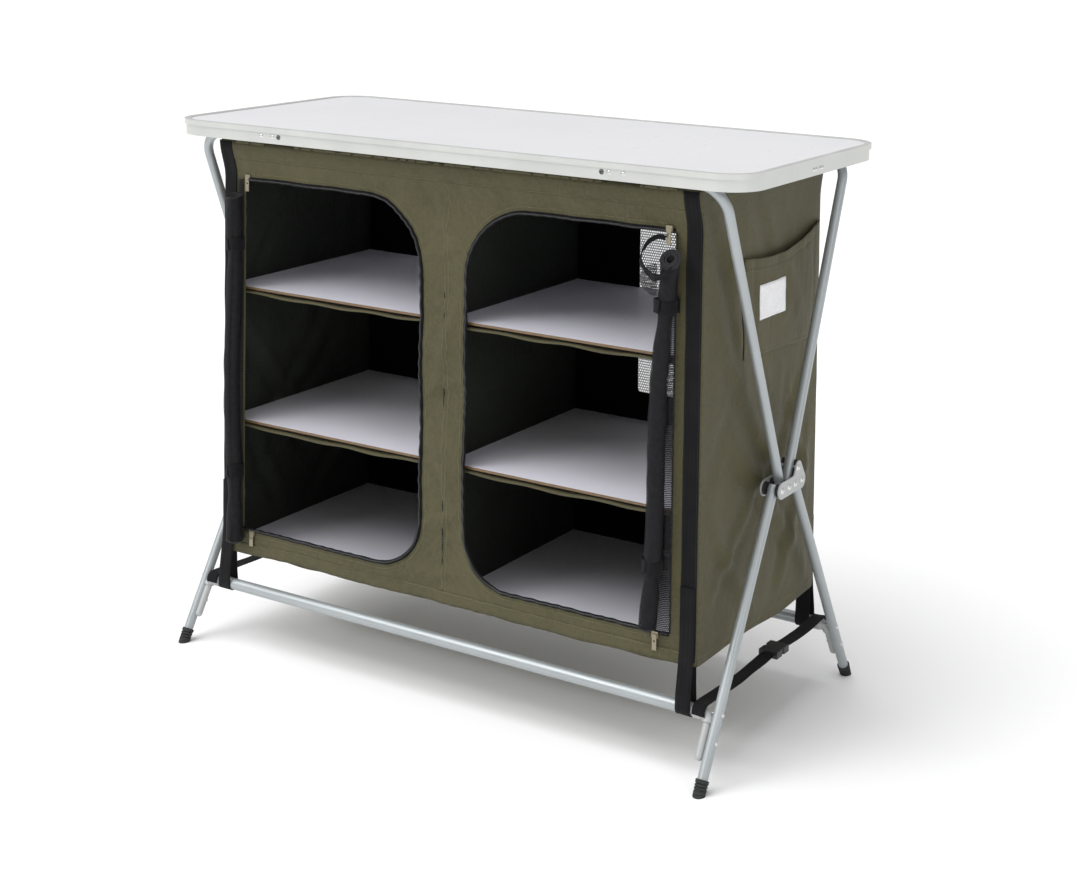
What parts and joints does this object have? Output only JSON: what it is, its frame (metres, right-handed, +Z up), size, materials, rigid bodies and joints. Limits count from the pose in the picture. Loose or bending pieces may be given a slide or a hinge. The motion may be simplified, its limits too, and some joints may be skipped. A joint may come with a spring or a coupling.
{
  "type": "folding camp kitchen table",
  "caption": "Folding camp kitchen table: laminated top on crossed tube frames with a hanging fabric cabinet, shelf boards, rolled mesh doors and a side pocket.",
  "frame": {"origin": "on the ground under the middle of the tabletop", "axes": "+X to the right along the width, +Y from the open front to the back, +Z up"},
  "size_m": [1.04, 0.5114, 0.85],
  "materials": {
    "laminate": "satin white laminate",
    "alu": "satin",
    "powder": "silver powder coat",
    "zinc": "satin",
    "dark_screw": "dark satin",
    "cast": "matte cast",
    "black_plastic": "matte",
    "rubber": "matte",
    "canvas": "coated polyester",
    "webbing": "woven",
    "mesh": "open mesh",
    "black_mesh": "open mesh",
    "zip_metal": "pale satin",
    "label": "plain"
  },
  "bodies": {
    "back_frame": {"upper_back_frame": "powder", "cross_plates_left": "cast", "cross_plates_right": "cast", "cross_blocks": "black_plastic", "pivot_washers": "black_plastic", "cross_rivets": "zinc", "side_left": "canvas", "side_right": "canvas", "divider": "canvas", "pocket": "canvas", "label_patch": "label"},
    "front_frame": {"upper_front_frame": "powder"},
    "front_legs": {"front_leg_left": "powder", "front_leg_right": "powder", "front_bar": "powder", "front_elbows": "cast", "front_elbow_rivets": "zinc", "front_feet": "rubber", "front_loops": "webbing"},
    "front_straps": {"tie_straps_front": "webbing"},
    "back_legs": {"back_leg_left": "powder", "back_leg_right": "powder", "back_bar": "powder", "back_elbows": "cast", "back_elbow_rivets": "zinc", "back_feet": "rubber", "back_loops": "webbing"},
    "back_straps": {"tie_straps_back": "webbing", "buckle_sockets": "black_plastic"},
    "tabletop": {"top_board": "laminate", "rim_front": "alu", "rim_back": "alu", "rim_joiners": "alu", "rim_rivets": "zinc", "battens": "powder", "batten_screws": "dark_screw"},
    "low_shelf": {"shelf_low_left": "laminate", "shelf_low_right": "laminate", "floor_low": "canvas"},
    "mid_shelf": {"shelf_mid_left": "laminate", "shelf_mid_right": "laminate", "floor_mid": "canvas"},
    "top_shelf": {"shelf_top_left": "laminate", "shelf_top_right": "laminate", "floor_top": "canvas"},
    "front_wall": {"front_panel": "canvas", "front_webbing": "webbing", "door_roll_left": "black_mesh", "door_roll_right": "black_mesh", "roll_straps": "webbing", "zip_tapes": "webbing"},
    "back_wall": {"back_panel": "canvas", "windows": "mesh", "back_webbing": "webbing"},
    "slider_top_left": {"zip_slider_top_left": "zip_metal"},
    "slider_top_right": {"zip_slider_top_right": "zip_metal"},
    "slider_low_left": {"zip_slider_low_left": "zip_metal"},
    "slider_low_right": {"zip_slider_low_right": "zip_metal"},
    "tongue_left": {"buckle_tongue_left": "black_plastic"},
    "tongue_right": {"buckle_tongue_right": "black_plastic"}
  },
  "joints": [
    {"name": "fold", "type": "hinge", "parent": "back_frame", "child": "front_frame", "pos_m": [0, -0.01, 0.368], "axis": [-1, 0, 0], "range_deg": [0, 45.9], "deforming": ["side_left", "side_right", "divider", "pocket", "label_patch", "front_loops", "back_loops", "tie_straps_front", "tie_straps_back", "front_panel", "front_webbing", "door_roll_left", "door_roll_right", "roll_straps", "zip_tapes", "back_panel", "windows", "back_webbing", "floor_low", "floor_mid", "floor_top"]},
    {"name": "front_legs_fold", "type": "hinge", "parent": "back_frame", "child": "front_legs", "pos_m": [0, -0.033, 0.368], "axis": [-1, 0, 0], "range_deg": [0, 172.89]},
    {"name": "back_legs_fold", "type": "hinge", "parent": "back_frame", "child": "back_legs", "pos_m": [0, 0.033, 0.368], "axis": [1, 0, 0], "range_deg": [0, 126.99]},
    {"name": "front_strap_swing", "type": "hinge", "parent": "front_legs", "child": "front_straps", "pos_m": [0, -0.19497, 0.093], "axis": [1, 0, 0], "range_deg": [0, 59.94]},
    {"name": "back_strap_swing", "type": "hinge", "parent": "back_legs", "child": "back_straps", "pos_m": [0, 0.19497, 0.093], "axis": [-1, 0, 0], "range_deg": [0, 59.94]},
    {"name": "tabletop_lift", "type": "slide", "parent": "back_frame", "child": "tabletop", "axis": [0, 0, 1], "range_m": [0, 0.36]},
    {"name": "low_shelf_turn", "type": "hinge", "parent": "back_frame", "child": "low_shelf", "pos_m": [0, -0.20843, 0.34937], "axis": [1, 0, 0], "range_deg": [0, 67.05]},
    {"name": "mid_shelf_turn", "type": "hinge", "parent": "back_frame", "child": "mid_shelf", "pos_m": [0, -0.10013, 0.50799], "axis": [1, 0, 0], "range_deg": [0, 67.05]},
    {"name": "top_shelf_turn", "type": "hinge", "parent": "back_frame", "child": "top_shelf", "pos_m": [0, 0.01722, 0.67261], "axis": [1, 0, 0], "range_deg": [0, 67.05]},
    {"name": "front_wall_hang", "type": "hinge", "parent": "front_frame", "child": "front_wall", "pos_m": [0, -0.206, 0.8309], "axis": [1, 0, 0], "range_deg": [0, 22.95]},
    {"name": "back_wall_hang", "type": "hinge", "parent": "back_frame", "child": "back_wall", "pos_m": [0, 0.206, 0.8309], "axis": [-1, 0, 0], "range_deg": [0, 22.95]},
    {"name": "zip_top_left", "type": "slide", "parent": "front_wall", "child": "slider_top_left", "axis": [1, 0, 0], "range_m": [0, 0.2]},
    {"name": "zip_top_right", "type": "slide", "parent": "front_wall", "child": "slider_top_right", "axis": [-1, 0, 0], "range_m": [0, 0.2]},
    {"name": "zip_low_left", "type": "slide", "parent": "front_wall", "child": "slider_low_left", "axis": [1, 0, 0], "range_m": [0, 0.2]},
    {"name": "zip_low_right", "type": "slide", "parent": "front_wall", "child": "slider_low_right", "axis": [-1, 0, 0], "range_m": [0, 0.2]},
    {"name": "buckle_left", "type": "slide", "parent": "front_straps", "child": "tongue_left", "axis": [0, -1, 0], "range_m": [0, 0.018]},
    {"name": "buckle_right", "type": "slide", "parent": "front_straps", "child": "tongue_right", "axis": [0, -1, 0], "range_m": [0, 0.018]}
  ],
  "couplings": [
    {"joint": "front_legs_fold", "follows": "fold", "ratio": 3.7668},
    {"joint": "back_legs_fold", "follows": "fold", "ratio": 2.7668},
    {"joint": "front_strap_swing", "follows": "fold", "ratio": 1.3059},
    {"joint": "back_strap_swing", "follows": "fold", "ratio": 1.3059},
    {"joint": "tabletop_lift", "follows": "fold", "m_per_rad": 0.4494},
    {"joint": "low_shelf_turn", "follows": "fold", "ratio": 1.4609},
    {"joint": "mid_shelf_turn", "follows": "fold", "ratio": 1.4609},
    {"joint": "top_shelf_turn", "follows": "fold", "ratio": 1.4609},
    {"joint": "front_wall_hang", "follows": "fold", "ratio": 0.50001},
    {"joint": "back_wall_hang", "follows": "fold", "ratio": 0.50001}
  ]
}
